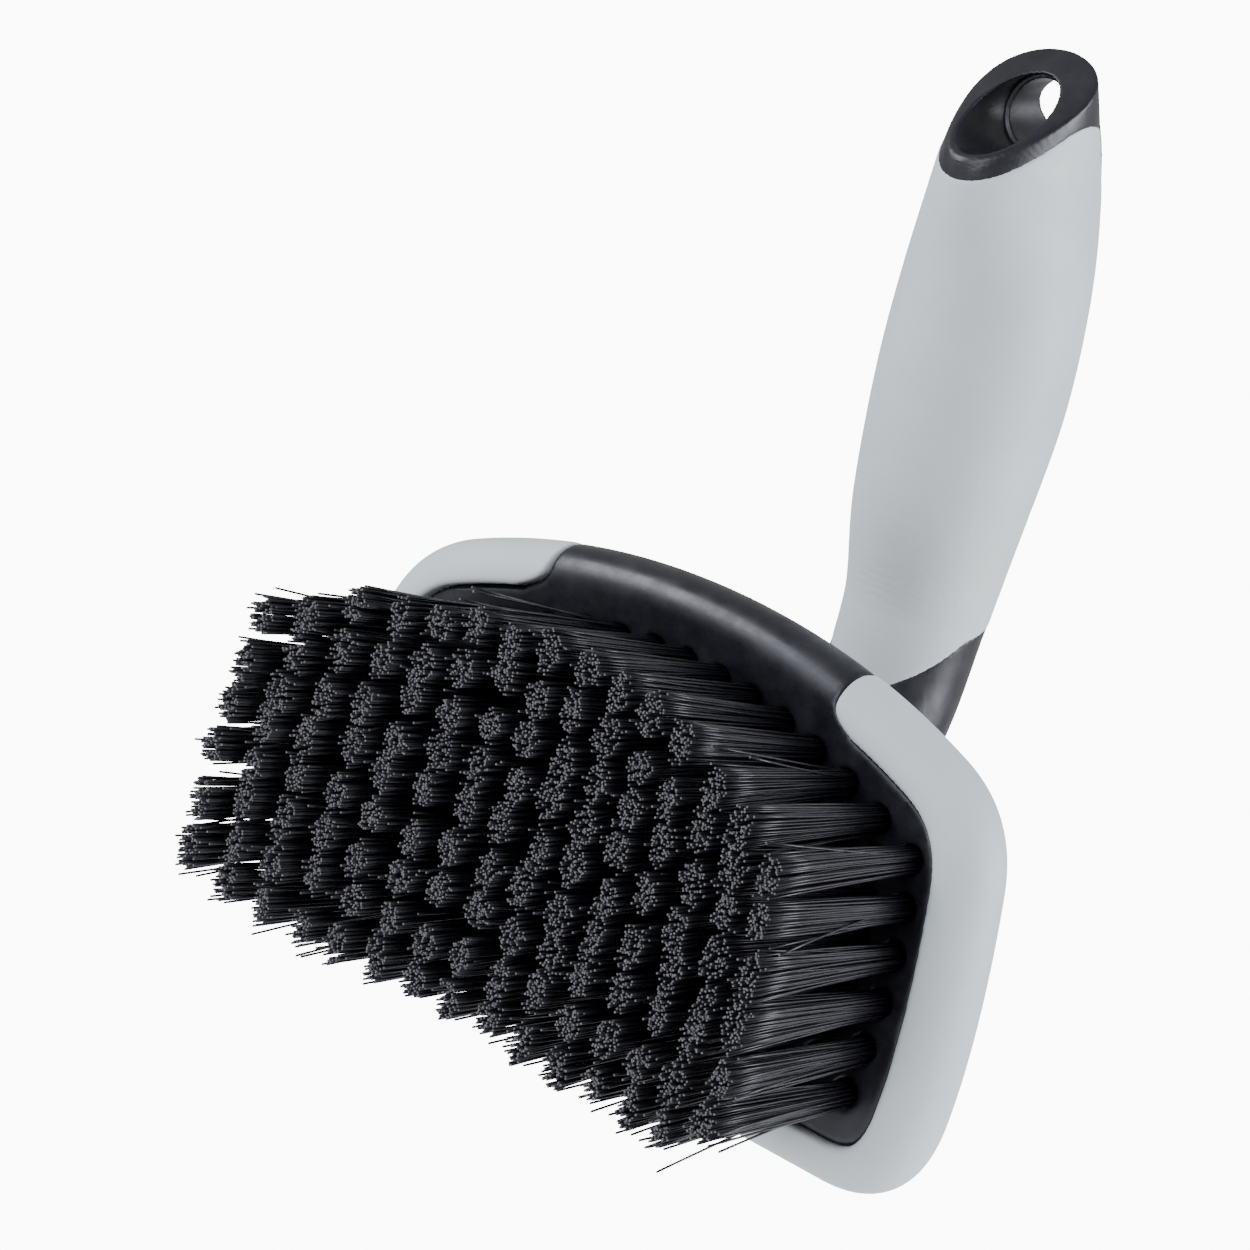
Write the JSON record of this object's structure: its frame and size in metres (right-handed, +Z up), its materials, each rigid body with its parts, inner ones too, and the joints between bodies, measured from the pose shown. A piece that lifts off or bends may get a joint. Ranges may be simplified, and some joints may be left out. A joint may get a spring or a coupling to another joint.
{
  "type": "wheel brush",
  "caption": "Short-handled wheel brush: D-shaped head with soft rim bumper, dense stiff bristle tufts, offset handle with soft grip and hanging hole.",
  "frame": {"origin": "under the middle of the whole brush, level with the head's lower edge", "axes": "+Z up the handle, +X along the head, and the bristles point along -Y"},
  "size_m": [0.1384, 0.116, 0.1786],
  "materials": {
    "core_plastic": "satin black moulded polypropylene",
    "grip_rubber": "smooth matt light grey soft-touch elastomer",
    "bumper_rubber": "smooth matt light grey soft-touch elastomer",
    "filament": "satin black drawn filament with paler cut ends"
  },
  "bodies": {
    "root": {"core": "core_plastic", "grip": "grip_rubber", "bumper": "bumper_rubber", "tuft_row_01": "filament", "tuft_row_02": "filament", "tuft_row_03": "filament", "tuft_row_04": "filament", "tuft_row_05": "filament", "tuft_row_06": "filament", "tuft_row_07": "filament", "tuft_row_08": "filament", "tuft_row_09": "filament", "tuft_row_10": "filament", "tuft_row_11": "filament", "tuft_row_12": "filament", "tuft_row_13": "filament", "tuft_row_14": "filament", "tuft_row_15": "filament"}
  },
  "joints": []
}
